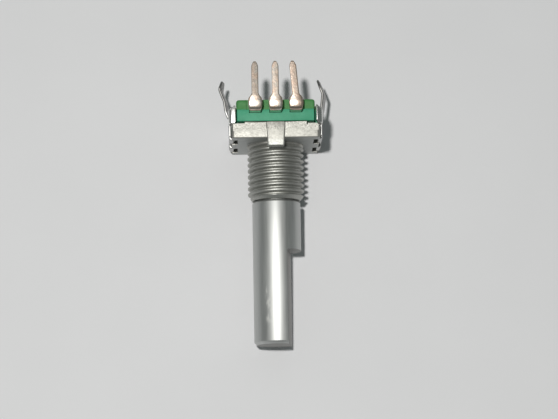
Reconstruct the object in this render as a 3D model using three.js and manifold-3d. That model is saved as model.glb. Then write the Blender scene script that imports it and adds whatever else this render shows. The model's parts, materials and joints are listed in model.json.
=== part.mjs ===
// Rotary encoder, 11 mm class, three terminals, no push switch.
//
// Frame, in millimetres: the origin is where the shaft's axis meets the mounting face.
// The shaft points along -Y, the body lies behind the mounting face along +Y, and the
// terminals leave the body on its +Z side.

import * as THREE from 'three';
import { mergeVertices } from 'three/addons/utils/BufferGeometryUtils.js';
import Module from 'manifold-3d';

// ---------------------------------------------------------------- driving dimensions

const ROUND = 36;                 // sides of a full circle on the larger round pieces
const FIT = 0.03;                 // gap between pieces that touch

const SHAFT = {
  tip: -25,                       // end of the shaft, measured from the mounting face
  radius: 3,
  chamfer: 0.35,
  flatFrom: -13.3,                // the D cut runs from here to the tip
  flatDistance: 1.5,              // from the axis to the flat: 4.5 mm across the D
  flatTurn: -6.6,                 // degrees that the flat is turned about the axis at rest
  neckRadius: 2.25,
  grooveRadius: 1.85,
  keyRadius: 2.15,
  keyHalfWidth: 1.6,
  end: 2.2,
};

const BUSHING = {
  length: 7,
  majorRadius: 3.5,
  minorRadius: 3.04,
  pitch: 0.75,
  bore: 2.3,
  collar: 0.25,                   // plain length at the flange, as wide as the thread
  lead: 0.5,                      // plain length at the end, as narrow as the thread's root
};

const FLANGE = {
  halfWidth: 5.45,
  halfHeight: 6,
  depth: 2.05,
  corner: 0.35,
  floor: 0.75,                    // thickness behind the mounting face
  cavityRadius: 4.45,
  notchInner: 3.8,                // the rear corners are stepped down beyond here
  notchEnd: 4.6,
};
const NOTCH_FRONTS = { left: 1.82, right: 1.6 };

const LOCATING_LUG = { frontHalfWidth: 1.0, rearHalfWidth: 1.2, reach: 1.0, inner: 4.8, outer: 6.2 };

const SHEET = 0.3;                // thickness of the bracket's steel
const BRACKET = {
  outerHalfWidth: 5.8,
  sideHalfHeight: 4.3,
  strapFront: 3.95,
  strapHalfHeight: 3.9,
  sideFront: 0.45,
  clawFront: 0.08,
  clawReach: 5.2,
  clawFrom: 1.6,
  clawTo: 4.2,
  slotHalfHeight: 1.15,
  slotInner: 1.5,
  lugHalfHeight: 1.0,
  earFront: 1.85,
  earShoulder: 3.3,               // the ear narrows from here to its rear end
  earRear: 4.1,
  earRearInner: 5.1,
  earTop: 6.1,
  earReach: 4.9,
  earRadius: 0.42,
};

// Centre line of each snap-in lug, from its root to its tip, as [x, y].
const LUG_ROUTES = {
  left: [[-5.65, 3.4], [-5.98, 4.3], [-6.15, 5.6], [-6.73, 7.1], [-6.45, 8.25]],
  right: [[5.65, 3.4], [5.96, 4.5], [6.2, 6.4], [5.5, 8.25]],
};
const LUG_LEAN = -0.2;            // how far the lugs lean in X for each millimetre of Z

// The housing is recessed around each claw: how far past its end and its sides, and how deep.
const CLAW_POCKET = { past: 0.5, beside: 0.2, depth: 0.8 };

const WAFER = {
  front: 2.1,
  cavityFloor: 2.95,
  channelFloor: 3.9,
  tierBreak: 3.55,
  rear: 4.85,
  middleHalfWidth: 5.35,
  middleHalfHeight: 4.25,
  halfWidth: 4.75,
  halfHeight: 6,
  rearTierHalfWidth: 4.85,
  rearTierHalfHeight: 5.75,
  recessHalfHeight: 5.4,
  recessHalfWidth: 3.6,
  cavityRadius: 4.3,
};

const TERMINAL = {
  pitch: 2.5,
  sheet: 0.35,
  legFront: 3.15,
  innerEnd: 4.0,
  row: 7.5,                       // middle of the pins, from the shaft's axis
  shoulderWidth: 1.65,
  legWidth: 1.5,
  shoulderFrom: 4.3,              // the shoulder rises gently from the bend to here
  shoulderEnd: 4.95,
  pinWidth: 0.85,
  taperFrom: 8.7,
  tipWidth: 0.35,
  tip: 9.3,
};
const TERMINAL_PLACES = { terminal_a: -1, terminal_c: 0, terminal_b: 1 };
const PIN_LEANS = { terminal_a: 0, terminal_c: 0, terminal_b: 5 };    // degrees towards -X
const PIN_RISES = { terminal_a: -2.5, terminal_c: -1, terminal_b: 1 };  // degrees towards +Z

const DETENTS = 24;
const ROTOR = {
  radius: 4.1,
  front: 1.65,
  rear: 2.25,
  hubRadius: 2.95,
  hubFront: 1.32,
  ridgeHeight: 0.18,
  ridgeInner: 3.3,
  ridgeOuter: 4.0,
  ridgeBase: 0.5,
  ridgeTop: 0.12,
};

const CODE_PLATE = { front: 2.27, thickness: 0.12, inner: 1.6, outer: 3.95, windows: 12, windowIn: 3.0, windowOut: 3.75 };

const CLICK_SPRING = { inner: 3.35, outer: 4.1, thickness: 0.12, rest: 0.78, rise: 0.45, tabReach: 4.7, tabWidth: 1.0 };
const DIMPLE = { radius: 0.3, place: 3.68, centre: 1.3 };

const THRUST_WASHER = { inner: 2.33, outer: 3.1, front: 0.78, thickness: 0.15 };
const RETAINING_RING = { inner: 1.9, relief: 2.4, outer: 2.95, front: 0.97, thickness: 0.28, mouth: 40, prong: 16 };

const BRUSH = { sheet: 0.1, width: 0.5, foot: 4.6, footEnd: 4.0, contact: 2.43, curl: 0.4, curlRise: 0.12 };
const TRACKS = { brush_a: 3.4, brush_c: 2.4, brush_b: 3.4 };          // radius that each brush wipes
const BRUSH_PLACES = { brush_a: -1, brush_c: 0, brush_b: 1 };

// ---------------------------------------------------------------- materials

function metal(color, roughness) {
  return new THREE.MeshStandardMaterial({ color, roughness, metalness: 1 });
}

function plastic(color, roughness) {
  return new THREE.MeshStandardMaterial({ color, roughness, metalness: 0 });
}

const MATERIALS = {
  dieCast: metal(0xcfccbf, 0.6),
  shaft: metal(0x9a9c9b, 0.35),
  steel: metal(0xc4c4c0, 0.3),
  tinned: metal(0xd6bfa8, 0.35),
  bronze: metal(0xb98a4e, 0.35),
  spring: metal(0xb8b4a8, 0.3),
  greenMoulding: plastic(0x3f9a70, 0.5),
  rotorMoulding: plastic(0x2b2c2e, 0.5),
};

// ---------------------------------------------------------------- solids

const wasm = await Module();
wasm.setup();

/** A closed three.js geometry as a solid that can be joined and cut. */
function solid(geometry) {
  const bare = geometry.clone();
  bare.deleteAttribute('normal');
  bare.deleteAttribute('uv');
  const merged = mergeVertices(bare, 1e-5);
  return new wasm.Manifold(new wasm.Mesh({
    numProp: 3,
    vertProperties: new Float32Array(merged.attributes.position.array),
    triVerts: new Uint32Array(merged.index.array),
  }));
}

/** A solid as a named, coloured mesh. */
function piece(name, body, material) {
  const { vertProperties, triVerts } = body.getMesh();
  const geometry = new THREE.BufferGeometry();
  geometry.setAttribute('position', new THREE.BufferAttribute(new Float32Array(vertProperties), 3));
  geometry.setIndex(new THREE.BufferAttribute(new Uint32Array(triVerts), 1));
  geometry.computeVertexNormals();
  const mesh = new THREE.Mesh(geometry, material);
  mesh.name = name;
  return mesh;
}

/** A box given by its low and high corners. */
function block(low, high) {
  const size = high.map((value, axis) => value - low[axis]);
  const centre = high.map((value, axis) => (value + low[axis]) / 2);
  return solid(new THREE.BoxGeometry(...size).translate(...centre));
}

/** A round piece about the shaft's axis, from [radius, y] pairs that close on themselves. */
function turned(profile, sides = ROUND) {
  const points = profile.map(([radius, y]) => new THREE.Vector2(radius, y));
  return solid(new THREE.LatheGeometry(points, sides));
}

/** A disc about the shaft's axis. */
function disc(radius, from, to, sides = ROUND) {
  return turned([[0, from], [radius, from], [radius, to], [0, to]], sides);
}

/** A ring about the shaft's axis. */
function ring(inner, outer, from, to, sides = ROUND) {
  return turned([[inner, from], [outer, from], [outer, to], [inner, to], [inner, from]], sides);
}

/** A closed outline of [a, b] pairs. */
function outline(points) {
  return new THREE.Shape(points.map(([a, b]) => new THREE.Vector2(a, b)));
}

/** Points of an arc about the middle, from one angle to another in radians. */
function arc(radius, from, to, steps) {
  const points = [];
  for (let i = 0; i <= steps; i += 1) {
    const angle = from + (to - from) * i / steps;
    points.push([radius * Math.cos(angle), radius * Math.sin(angle)]);
  }
  return points;
}

/** A full circle of points, without its first point again at the end. */
function circle(radius) {
  return arc(radius, 0, 2 * Math.PI, ROUND).slice(0, -1);
}

/** An outline of x and z, pushed along Y between two places. */
function alongY(shape, from, to) {
  const geometry = new THREE.ExtrudeGeometry(shape, { depth: to - from, bevelEnabled: false, curveSegments: 3 });
  return solid(geometry.rotateX(Math.PI / 2).translate(0, to, 0));
}

/** An outline of x and y, pushed along Z between two places. */
function alongZ(shape, from, to) {
  const geometry = new THREE.ExtrudeGeometry(shape, { depth: to - from, bevelEnabled: false });
  return solid(geometry.translate(0, 0, from));
}

/** An outline of y and z, pushed along X by a width about a middle. */
function alongX(shape, middle, width) {
  const geometry = new THREE.ExtrudeGeometry(shape, { depth: width, bevelEnabled: false, curveSegments: 3 });
  const turn = new THREE.Matrix4().makeBasis(
    new THREE.Vector3(0, 1, 0), new THREE.Vector3(0, 0, 1), new THREE.Vector3(1, 0, 0));
  return solid(geometry.applyMatrix4(turn).translate(middle - width / 2, 0, 0));
}

/** The outline of a sheet of one thickness that follows a line of [a, b] points. */
function ribbon(route, thickness) {
  const line = route.map(([a, b]) => new THREE.Vector2(a, b));
  const offsets = line.map((point, i) => {
    const before = line[Math.max(i - 1, 0)];
    const after = line[Math.min(i + 1, line.length - 1)];
    const into = point.clone().sub(before).normalize();
    const out = after.clone().sub(point).normalize();
    const along = into.add(out).normalize();
    return new THREE.Vector2(-along.y, along.x).multiplyScalar(thickness / 2);
  });
  const oneSide = line.map((point, i) => point.clone().add(offsets[i]));
  const otherSide = line.map((point, i) => point.clone().sub(offsets[i])).reverse();
  return new THREE.Shape([...oneSide, ...otherSide]);
}

/** The four corners' signs of x and z. */
const CORNERS = [[-1, -1], [-1, 1], [1, -1], [1, 1]];

/** A block given for x > 0 and z > 0, copied into the corner with these signs. */
function cornerBlock([signX, signZ], low, high) {
  const x = [signX * low[0], signX * high[0]].sort((a, b) => a - b);
  const z = [signZ * low[2], signZ * high[2]].sort((a, b) => a - b);
  return block([x[0], low[1], z[0]], [x[1], high[1], z[1]]);
}

// ---------------------------------------------------------------- die-cast housing

/** Outline of the threaded bushing: one root and one crest for each pitch. */
function bushingProfile() {
  const { length, majorRadius, minorRadius, pitch, collar, lead } = BUSHING;
  const profile = [[0, FLANGE.floor / 2], [majorRadius, FLANGE.floor / 2], [majorRadius, -collar]];
  const turns = Math.floor((length - collar - lead) / pitch);
  for (let turn = 0; turn < turns; turn += 1) {
    const start = -collar - turn * pitch;
    profile.push([minorRadius, start - pitch * 0.35]);
    profile.push([minorRadius, start - pitch * 0.5]);
    profile.push([majorRadius, start - pitch * 0.85]);
    profile.push([majorRadius, start - pitch]);
  }
  profile.push([minorRadius, -collar - (turns + 0.35) * pitch], [minorRadius, -length], [0, -length]);
  return profile.reverse();
}

function flangeOutline() {
  const { halfWidth: w, halfHeight: h, corner: c } = FLANGE;
  return outline([[-w + c, -h], [w - c, -h], [w, -h + c], [w, h - c], [w - c, h], [-w + c, h], [-w, h - c], [-w, -h + c]]);
}

/** The lug that stops the body from turning in its panel, drafted towards its front. */
function locatingLug() {
  const { frontHalfWidth: f, rearHalfWidth: r, reach, inner, outer } = LOCATING_LUG;
  return alongZ(outline([[-f, -reach], [f, -reach], [r, FLANGE.depth], [-r, FLANGE.depth]]), inner, outer);
}

function makeHousing() {
  let body = alongY(flangeOutline(), 0, FLANGE.depth).add(turned(bushingProfile())).add(locatingLug());
  body = body.subtract(disc(BUSHING.bore, -BUSHING.length - 1, FLANGE.depth + 1));
  body = body.subtract(disc(FLANGE.cavityRadius, FLANGE.floor, FLANGE.depth + 1));
  const tab = CLICK_SPRING.tabWidth / 2 + 0.1;
  const tabEnd = CLICK_SPRING.tabReach + 0.1;
  body = body.subtract(block([-tab, FLANGE.floor, -tabEnd], [tab, FLANGE.depth + 1, tabEnd]));
  const { past, beside, depth } = CLAW_POCKET;
  const farX = FLANGE.halfWidth + 1;
  const farZ = FLANGE.halfHeight + 1;
  const pocketLow = [BRACKET.clawReach - past, -1, BRACKET.clawFrom - beside];
  const pocketHigh = [farX, depth, BRACKET.clawTo + beside];
  for (const corner of CORNERS) {
    const notchFront = corner[0] < 0 ? NOTCH_FRONTS.left : NOTCH_FRONTS.right;
    const notch = [[FLANGE.notchInner, notchFront, FLANGE.notchEnd], [farX, FLANGE.depth + 1, farZ]];
    body = body.subtract(cornerBlock(corner, pocketLow, pocketHigh)).subtract(cornerBlock(corner, ...notch));
  }
  return piece('bushing_housing', body, MATERIALS.dieCast);
}

// ---------------------------------------------------------------- shaft and its fastenings

/** What is left outside two parallel flats about the shaft's axis, as two blocks to cut away. */
function keyFlats(halfWidth, from, to) {
  const turn = THREE.MathUtils.degToRad(SHAFT.flatTurn);
  const far = 6;
  const cut = new THREE.BoxGeometry(far, to - from, 2 * far);
  const place = halfWidth + far / 2;
  const right = cut.clone().translate(place, (from + to) / 2, 0).rotateY(turn);
  const left = cut.clone().translate(-place, (from + to) / 2, 0).rotateY(turn);
  return { right: solid(right), left: solid(left) };
}

function makeShaft() {
  const { tip, radius, chamfer, neckRadius, grooveRadius, keyRadius, end } = SHAFT;
  const shoulder = -BUSHING.length - 0.1;
  const grooveFrom = RETAINING_RING.front - 0.02;
  const grooveTo = grooveFrom + RETAINING_RING.thickness + 0.04;
  let body = turned([
    [0, tip], [radius - chamfer, tip], [radius, tip + chamfer], [radius, shoulder],
    [neckRadius, shoulder], [neckRadius, grooveFrom], [grooveRadius, grooveFrom],
    [grooveRadius, grooveTo], [keyRadius, grooveTo], [keyRadius, end], [0, end],
  ]);
  body = body.subtract(keyFlats(SHAFT.flatDistance, tip - 1, SHAFT.flatFrom).right);
  const key = keyFlats(SHAFT.keyHalfWidth, grooveTo, end + 1);
  body = body.subtract(key.right).subtract(key.left);
  return piece('shaft', body, MATERIALS.shaft);
}

function makeThrustWasher() {
  const { inner, outer, front, thickness } = THRUST_WASHER;
  return piece('thrust_washer', ring(inner, outer, front, front + thickness), MATERIALS.spring);
}

/** A spring clip with an open mouth and three prongs that sit in the shaft's groove. */
function makeRetainingRing() {
  const { inner, relief, outer, front, thickness, mouth, prong } = RETAINING_RING;
  const degrees = THREE.MathUtils.degToRad;
  const start = degrees(mouth);
  const stop = degrees(360 - mouth);
  const points = arc(outer, start, stop, ROUND);
  const stops = [stop, stop - degrees(prong), Math.PI + degrees(prong / 2), Math.PI - degrees(prong / 2),
    start + degrees(prong), start];
  for (let i = 0; i + 1 < stops.length; i += 1) {
    const radius = i % 2 === 0 ? inner : relief;
    points.push(...arc(radius, stops[i], stops[i + 1], 6));
  }
  return piece('retaining_ring', alongY(outline(points), front, front + thickness), MATERIALS.spring);
}

// ---------------------------------------------------------------- click mechanism

/** A bowed ring: two tabs sit on the housing's floor and two dimples press on the rotor. */
function makeClickSpring() {
  const { inner, outer, thickness, rest, rise, tabReach, tabWidth } = CLICK_SPRING;
  const shape = outline(circle(outer));
  shape.holes.push(outline(circle(inner)));
  const geometry = new THREE.ExtrudeGeometry(shape, { depth: thickness, bevelEnabled: false });
  geometry.rotateX(Math.PI / 2).translate(0, rest + thickness, 0);
  const places = geometry.attributes.position;
  for (let i = 0; i < places.count; i += 1) {
    const bow = (places.getX(i) / Math.hypot(places.getX(i), places.getZ(i))) ** 2;
    places.setY(i, places.getY(i) + rise * bow);
  }
  let body = solid(geometry);
  for (const side of [-1, 1]) {
    const dimple = new THREE.SphereGeometry(DIMPLE.radius, 10, 8).translate(side * DIMPLE.place, DIMPLE.centre, 0);
    const underside = block([-outer, -1, -1], [outer, rest + rise, 1]);
    const ends = [side * (inner + 0.2), side * tabReach].sort((a, b) => a - b);
    const tab = block([-tabWidth / 2, rest, ends[0]], [tabWidth / 2, rest + thickness, ends[1]]);
    body = body.add(solid(dimple).subtract(underside)).add(tab);
  }
  return piece('click_spring', body, MATERIALS.spring);
}

/** One detent ridge: a low wedge that runs outwards on the rotor's front. */
function detentRidge(angle) {
  const { front, ridgeHeight, ridgeInner, ridgeOuter, ridgeBase, ridgeTop } = ROTOR;
  const root = front + 0.1;
  const crest = front - ridgeHeight;
  const half = ridgeBase / 2;
  const top = ridgeTop / 2;
  const section = outline([[root, -half], [root, half], [front, half], [crest, top], [crest, -top], [front, -half]].reverse());
  const length = ridgeOuter - ridgeInner;
  const geometry = new THREE.ExtrudeGeometry(section, { depth: length, bevelEnabled: false });
  const turn = new THREE.Matrix4().makeBasis(
    new THREE.Vector3(0, 1, 0), new THREE.Vector3(0, 0, 1), new THREE.Vector3(1, 0, 0));
  return solid(geometry.applyMatrix4(turn).translate(ridgeInner, 0, 0).rotateY(angle));
}

function makeRotor() {
  const { radius, front, rear, hubRadius, hubFront } = ROTOR;
  let body = turned([[0, hubFront], [hubRadius, hubFront], [hubRadius, front], [radius, front], [radius, rear], [0, rear]]);
  const step = 2 * Math.PI / DETENTS;
  for (let i = 0; i < DETENTS; i += 1) {
    body = body.add(detentRidge((i + 0.5) * step));
  }
  const key = keyFlats(SHAFT.keyHalfWidth + FIT, hubFront - 1, rear + 1);
  const keyHole = disc(SHAFT.keyRadius + FIT, hubFront - 1, rear + 1).subtract(key.right).subtract(key.left);
  return piece('detent_rotor', body.subtract(keyHole), MATERIALS.rotorMoulding);
}

// ---------------------------------------------------------------- contacts

/** The plate that the brushes wipe: an unbroken inner track and a windowed outer track. */
function makeCodePlate() {
  const { front, thickness, inner, outer, windows, windowIn, windowOut } = CODE_PLATE;
  const shape = outline(circle(outer));
  shape.holes.push(outline(circle(inner)));
  const step = 2 * Math.PI / windows;
  for (let i = 0; i < windows; i += 1) {
    const start = i * step;
    const end = start + step / 2;
    shape.holes.push(outline([...arc(windowOut, start, end, 2), ...arc(windowIn, end, start, 2)]));
  }
  return piece('code_plate', alongY(shape, front, front + thickness), MATERIALS.bronze);
}

/** A leaf that is fixed on its terminal's inner end and presses on one track. */
function makeBrush(name) {
  const x = BRUSH_PLACES[name] * TERMINAL.pitch;
  const track = Math.sqrt(TRACKS[name] ** 2 - x ** 2);
  const footY = TERMINAL.legFront - FIT - BRUSH.sheet / 2;
  const contactY = BRUSH.contact + BRUSH.sheet / 2;
  const route = [
    [footY, BRUSH.foot], [footY, BRUSH.footEnd], [contactY, track + 0.1], [contactY, track - 0.1],
    [contactY + BRUSH.curlRise, track - BRUSH.curl],
  ];
  return piece(name, alongX(ribbon(route, BRUSH.sheet), x, BRUSH.width), MATERIALS.bronze);
}

/** Side view of a terminal's leg, its bend and its shoulder, as y and z. */
function terminalProfile() {
  const { legFront, sheet, innerEnd, row, shoulderFrom, shoulderEnd } = TERMINAL;
  const leg = legFront + sheet / 2;
  return ribbon([
    [leg, innerEnd], [leg, row - 0.65], [leg + 0.1, row - 0.38], [leg + 0.35, row - 0.2],
    [shoulderFrom, row], [shoulderEnd, row],
  ], sheet);
}

/** A terminal's pin, which may lean a little to one side and rise or fall a little. */
function terminalPin(name) {
  const { pinWidth, tipWidth, shoulderEnd, taperFrom, tip, row, sheet } = TERMINAL;
  const half = pinWidth / 2;
  const point = tipWidth / 2;
  const root = -0.1;
  const pin = outline([
    [-half, root], [half, root], [half, taperFrom - shoulderEnd],
    [point, tip - shoulderEnd], [-point, tip - shoulderEnd], [-half, taperFrom - shoulderEnd],
  ]);
  const geometry = new THREE.ExtrudeGeometry(pin, { depth: sheet, bevelEnabled: false }).translate(0, 0, -sheet / 2);
  geometry.rotateZ(THREE.MathUtils.degToRad(PIN_LEANS[name])).rotateX(THREE.MathUtils.degToRad(PIN_RISES[name]));
  return geometry.translate(TERMINAL_PLACES[name] * TERMINAL.pitch, shoulderEnd, row);
}

function makeTerminal(name) {
  const x = TERMINAL_PLACES[name] * TERMINAL.pitch;
  const side = terminalProfile();
  const outside = WAFER.halfHeight + 0.05;
  const wide = alongX(side, x, TERMINAL.shoulderWidth);
  const inWafer = block([x - 1, 0, 0], [x + 1, 4, outside]);
  const leg = alongX(side, x, TERMINAL.legWidth).intersect(inWafer);
  return piece(name, wide.subtract(inWafer).add(leg).add(solid(terminalPin(name))), MATERIALS.tinned);
}

// ---------------------------------------------------------------- moulded wafer

/** The slot that holds a terminal's leg, and the window in front of it for the brush's foot. */
function terminalSlot(x) {
  const legHalf = TERMINAL.legWidth / 2 + FIT;
  const slotFront = TERMINAL.legFront - FIT;
  const slotRear = TERMINAL.legFront + TERMINAL.sheet + FIT;
  const slot = block([x - legHalf, slotFront, TERMINAL.innerEnd - FIT], [x + legHalf, slotRear, WAFER.halfHeight + 1]);
  const windowHalf = BRUSH.width / 2 + 0.15;
  const window = block([x - windowHalf, WAFER.front + 0.3, 3.2], [x + windowHalf, slotFront + FIT, BRUSH.foot + 0.1]);
  return slot.add(window);
}

function makeWafer() {
  const w = WAFER;
  let body = block([-w.middleHalfWidth, w.front, -w.middleHalfHeight], [w.middleHalfWidth, w.channelFloor, w.middleHalfHeight]);
  body = body.add(block([-w.halfWidth, w.front, -w.halfHeight], [w.halfWidth, w.tierBreak, w.halfHeight]));
  for (const side of [-1, 1]) {
    const z = [side * w.middleHalfHeight, side * w.rearTierHalfHeight].sort((a, b) => a - b);
    body = body.add(block([-w.rearTierHalfWidth, w.tierBreak, z[0]], [w.rearTierHalfWidth, w.rear, z[1]]));
    body = body.add(block([-w.halfWidth, w.tierBreak - 0.5, z[0]], [w.halfWidth, w.rear, z[1]]));
  }
  const recess = block([-w.recessHalfWidth, w.tierBreak, w.recessHalfHeight], [w.recessHalfWidth, w.rear + 1, w.halfHeight + 1]);
  body = body.subtract(recess).subtract(disc(w.cavityRadius, w.front - 1, w.cavityFloor));
  for (const place of Object.values(TERMINAL_PLACES)) {
    body = body.subtract(terminalSlot(place * TERMINAL.pitch));
  }
  return piece('terminal_wafer', body, MATERIALS.greenMoulding);
}

// ---------------------------------------------------------------- steel bracket

/** The strap behind the wafer, with the slots that the snap-in lugs were pressed out of. */
function bracketStrap() {
  const b = BRACKET;
  const rear = b.strapFront + SHEET;
  let strap = block([-b.outerHalfWidth, b.strapFront, -b.strapHalfHeight], [b.outerHalfWidth, rear, b.strapHalfHeight]);
  for (const side of [-1, 1]) {
    const x = [side * b.slotInner, side * (b.outerHalfWidth - SHEET)].sort((p, q) => p - q);
    strap = strap.subtract(block([x[0], 0, -b.slotHalfHeight], [x[1], rear + 1, b.slotHalfHeight]));
  }
  return strap;
}

/** A side plate with its two front claws, which are folded over into the housing's pockets. */
function bracketSide(side) {
  const b = BRACKET;
  const plateX = [side * (b.outerHalfWidth - SHEET), side * b.outerHalfWidth].sort((p, q) => p - q);
  const clawX = [side * b.clawReach, side * b.outerHalfWidth].sort((p, q) => p - q);
  let body = block([plateX[0], b.sideFront, -b.sideHalfHeight], [plateX[1], b.strapFront + SHEET, b.sideHalfHeight]);
  for (const end of [-1, 1]) {
    const z = [end * b.clawFrom, end * b.clawTo].sort((p, q) => p - q);
    body = body.add(block([plateX[0], b.clawFront, z[0]], [plateX[1], b.sideFront + 0.1, z[1]]));
    body = body.add(block([clawX[0], b.clawFront, z[0]], [clawX[1], b.clawFront + SHEET, z[1]]));
  }
  return body;
}

/** An ear that rises from a side plate and is rolled over the wafer's corner. */
function bracketEar([signX, signZ]) {
  const b = BRACKET;
  const bendX = b.outerHalfWidth - b.earRadius;
  const bendZ = b.earTop - b.earRadius;
  const shape = new THREE.Shape();
  shape.moveTo(b.outerHalfWidth - SHEET, b.sideHalfHeight - 0.2);
  shape.lineTo(b.outerHalfWidth, b.sideHalfHeight - 0.2);
  shape.lineTo(b.outerHalfWidth, bendZ);
  shape.absarc(bendX, bendZ, b.earRadius, 0, Math.PI / 2, false);
  shape.lineTo(b.earReach, b.earTop);
  shape.lineTo(b.earReach, b.earTop - SHEET);
  shape.absarc(bendX, bendZ, b.earRadius - SHEET, Math.PI / 2, 0, true);
  shape.closePath();
  const far = b.outerHalfWidth + 1;
  const beyond = outline([[b.outerHalfWidth, b.earShoulder], [far, b.earShoulder], [far, b.earRear + 1],
    [b.earRearInner, b.earRear + 1], [b.earRearInner, b.earRear]]);
  const slant = alongZ(beyond, b.sideHalfHeight + 0.1, b.earTop + 1);
  return alongY(shape, b.earFront, b.earRear).subtract(slant).scale([signX, 1, signZ]);
}

/** A snap-in lug, which leans a little to one side. */
function snapLug(route) {
  const half = BRACKET.lugHalfHeight;
  return alongZ(ribbon(route, SHEET), -half, half).transform(new THREE.Matrix4().set(
    1, 0, LUG_LEAN, 0, 0, 1, 0, 0, 0, 0, 1, 0, 0, 0, 0, 1).toArray());
}

function makeBracket() {
  let body = bracketStrap().add(bracketSide(-1)).add(bracketSide(1));
  for (const route of Object.values(LUG_ROUTES)) {
    body = body.add(snapLug(route));
  }
  for (const corner of CORNERS) {
    body = body.add(bracketEar(corner));
  }
  return piece('mounting_bracket', body, MATERIALS.steel);
}

// ---------------------------------------------------------------- assembly

const encoder = new THREE.Group();
encoder.add(makeHousing(), makeBracket(), makeWafer(), makeShaft());
encoder.add(makeThrustWasher(), makeRetainingRing(), makeClickSpring(), makeRotor(), makeCodePlate());
for (const name of Object.keys(TERMINAL_PLACES)) {
  encoder.add(makeTerminal(name));
}
for (const name of Object.keys(BRUSH_PLACES)) {
  encoder.add(makeBrush(name));
}

export default encoder;
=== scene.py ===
import json
import math

import bmesh
import bpy
from mathutils import Matrix, Vector


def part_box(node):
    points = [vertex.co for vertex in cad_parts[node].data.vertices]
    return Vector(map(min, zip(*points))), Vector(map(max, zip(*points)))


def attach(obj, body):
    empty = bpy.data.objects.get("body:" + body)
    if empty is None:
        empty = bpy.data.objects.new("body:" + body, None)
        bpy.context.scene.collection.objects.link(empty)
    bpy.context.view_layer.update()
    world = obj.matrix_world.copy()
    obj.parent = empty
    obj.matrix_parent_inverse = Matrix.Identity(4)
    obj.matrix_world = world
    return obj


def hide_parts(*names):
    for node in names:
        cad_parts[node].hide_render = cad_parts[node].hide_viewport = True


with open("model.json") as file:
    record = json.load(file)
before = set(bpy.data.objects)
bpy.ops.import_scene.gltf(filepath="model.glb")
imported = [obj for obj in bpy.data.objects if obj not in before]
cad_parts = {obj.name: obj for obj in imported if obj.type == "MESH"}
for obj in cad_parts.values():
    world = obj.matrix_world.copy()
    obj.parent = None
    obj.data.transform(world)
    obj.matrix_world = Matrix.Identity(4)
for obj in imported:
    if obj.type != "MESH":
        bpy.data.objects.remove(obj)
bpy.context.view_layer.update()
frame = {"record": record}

# Lengths in this script are in millimetres, in the CAD frame: the shaft points along -Y from the
# mounting face at y = 0, and the terminals leave the body on its +Z side. finished() turns a piece
# into metres.
MM = 0.001


def box_mm(node):
    """Lowest and highest corner of a CAD node, in millimetres."""
    low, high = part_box(node)
    return low / MM, high / MM


# ---------------------------------------------------------------- sizes taken from the frame

SHAFT_LOW, SHAFT_HIGH = box_mm("shaft")
HOUSING_LOW, HOUSING_HIGH = box_mm("bushing_housing")
WAFER_LOW, WAFER_HIGH = box_mm("terminal_wafer")
BRACKET_LOW = box_mm("mounting_bracket")[0]
WASHER_LOW, WASHER_HIGH = box_mm("thrust_washer")
CLIP_LOW, CLIP_HIGH = box_mm("retaining_ring")
SPRING_LOW, SPRING_HIGH = box_mm("click_spring")
ROTOR_LOW, ROTOR_HIGH = box_mm("detent_rotor")
PLATE_LOW, PLATE_HIGH = box_mm("code_plate")
BRUSH_HIGH = box_mm("brush_c")[1]
PIN_LOW, PIN_HIGH = box_mm("terminal_c")

SHAFT_RADIUS = SHAFT_HIGH.z
FLANGE_HALF_WIDTH = HOUSING_HIGH.x
FLANGE_HALF_HEIGHT = -HOUSING_LOW.z
FLANGE_DEPTH = HOUSING_HIGH.y
BUSHING_END = HOUSING_LOW.y
FLAT_NORMAL = next(Vector(m["axis"]) for m in frame["record"]["mounts"] if m["name"] == "knob_flat")

# ---------------------------------------------------------------- shape tools


def new_object(name, bm):
    """A mesh object made from a bmesh, with its faces pointing out."""
    bmesh.ops.remove_doubles(bm, verts=bm.verts, dist=1e-5)
    bmesh.ops.recalc_face_normals(bm, faces=bm.faces)
    mesh = bpy.data.meshes.new(name)
    bm.to_mesh(mesh)
    bm.free()
    obj = bpy.data.objects.new(name, mesh)
    bpy.context.scene.collection.objects.link(obj)
    return obj


def applied(obj):
    """obj with its modifiers baked into its mesh."""
    graph = bpy.context.evaluated_depsgraph_get()
    mesh = bpy.data.meshes.new_from_object(obj.evaluated_get(graph))
    old = obj.data
    obj.modifiers.clear()
    obj.data = mesh
    bpy.data.meshes.remove(old)
    return obj


def boolean(base, other, operation):
    """base joined with other, cut by it, or kept only inside it. other is used up."""
    modifier = base.modifiers.new("boolean", "BOOLEAN")
    modifier.operation = operation
    modifier.solver = "EXACT"
    modifier.object = other
    applied(base)
    bpy.data.objects.remove(other)
    return base


def join(base, *others):
    for other in others:
        boolean(base, other, "UNION")
    return base


def cut(base, *others):
    for other in others:
        boolean(base, other, "DIFFERENCE")
    return base


def soften(obj, width, segments=2, angle=35):
    """Rounds every edge sharper than an angle in degrees."""
    modifier = obj.modifiers.new("soften", "BEVEL")
    modifier.width = width
    modifier.segments = segments
    modifier.limit_method = "ANGLE"
    modifier.angle_limit = math.radians(angle)
    modifier.use_clamp_overlap = True
    return applied(obj)


def turned(name, profile, sides=128):
    """A round piece about the shaft's axis, from [radius, y] points that start and end on the axis."""
    bm = bmesh.new()
    rings = []
    for radius, y in profile:
        if radius < 1e-6:
            rings.append([bm.verts.new((0, y, 0))] * sides)
            continue
        angles = [2 * math.pi * i / sides for i in range(sides)]
        rings.append([bm.verts.new((radius * math.sin(a), y, radius * math.cos(a))) for a in angles])
    for one, other in zip(rings, rings[1:]):
        for i in range(sides):
            corners = [one[i], one[(i + 1) % sides], other[(i + 1) % sides], other[i]]
            unique = list(dict.fromkeys(corners))
            if len(unique) > 2:
                bm.faces.new(unique)
    return new_object(name, bm)


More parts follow.
